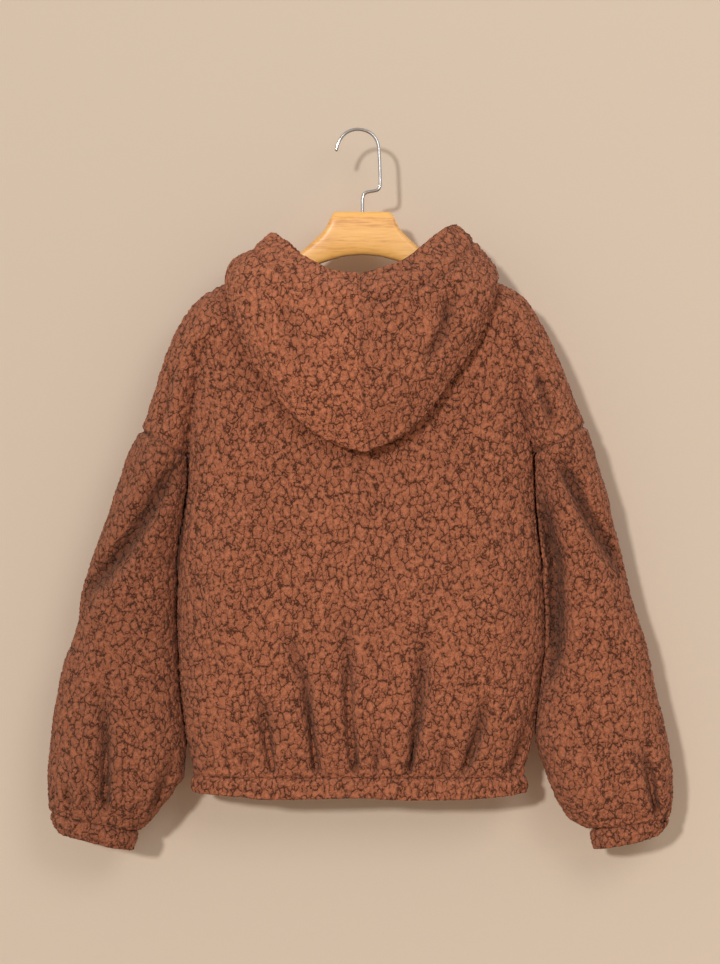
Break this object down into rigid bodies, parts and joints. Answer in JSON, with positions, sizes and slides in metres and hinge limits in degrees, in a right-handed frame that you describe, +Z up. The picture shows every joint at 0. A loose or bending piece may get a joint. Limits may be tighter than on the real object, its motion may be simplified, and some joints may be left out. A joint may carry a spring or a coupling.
{
  "type": "hooded sherpa jacket on a wooden hanger",
  "caption": "Hooded zip jacket of curly sherpa with full sleeves, elastic cuffs and hem, its hood hanging down the back, on a wooden hanger with a wire hook.",
  "frame": {"origin": "where a rail bears: the highest point of the inside of the hanger's hook", "axes": "+Z up, the garment's back faces -Y and its zip +Y, +X is the picture's right"},
  "size_m": [0.7198, 0.1564, 0.8304],
  "materials": {
    "sherpa": "curly pile",
    "zip_tape": "woven tape",
    "zip_metal": "satin",
    "hanger_wood": "clear satin lacquer",
    "hanger_wire": "bright"
  },
  "bodies": {
    "jacket": {"back": "sherpa", "front_left": "sherpa", "front_right": "sherpa", "sleeve_left": "sherpa", "sleeve_right": "sherpa", "cuff_left": "sherpa", "cuff_right": "sherpa", "hem_band": "sherpa", "hood_left": "sherpa", "hood_right": "sherpa", "zip_tape_left": "zip_tape", "zip_tape_right": "zip_tape", "zip_slider": "zip_metal", "hanger_bar": "hanger_wood", "hanger_hook": "hanger_wire"},
    "zip_pull": {"zip_pull": "zip_metal"}
  },
  "joints": [
    {"name": "zip_pull_hinge", "type": "hinge", "parent": "jacket", "child": "zip_pull", "pos_m": [0.00575, 0.04711, -0.233], "axis": [1, 0, 0], "range_deg": [0, 150]}
  ]
}
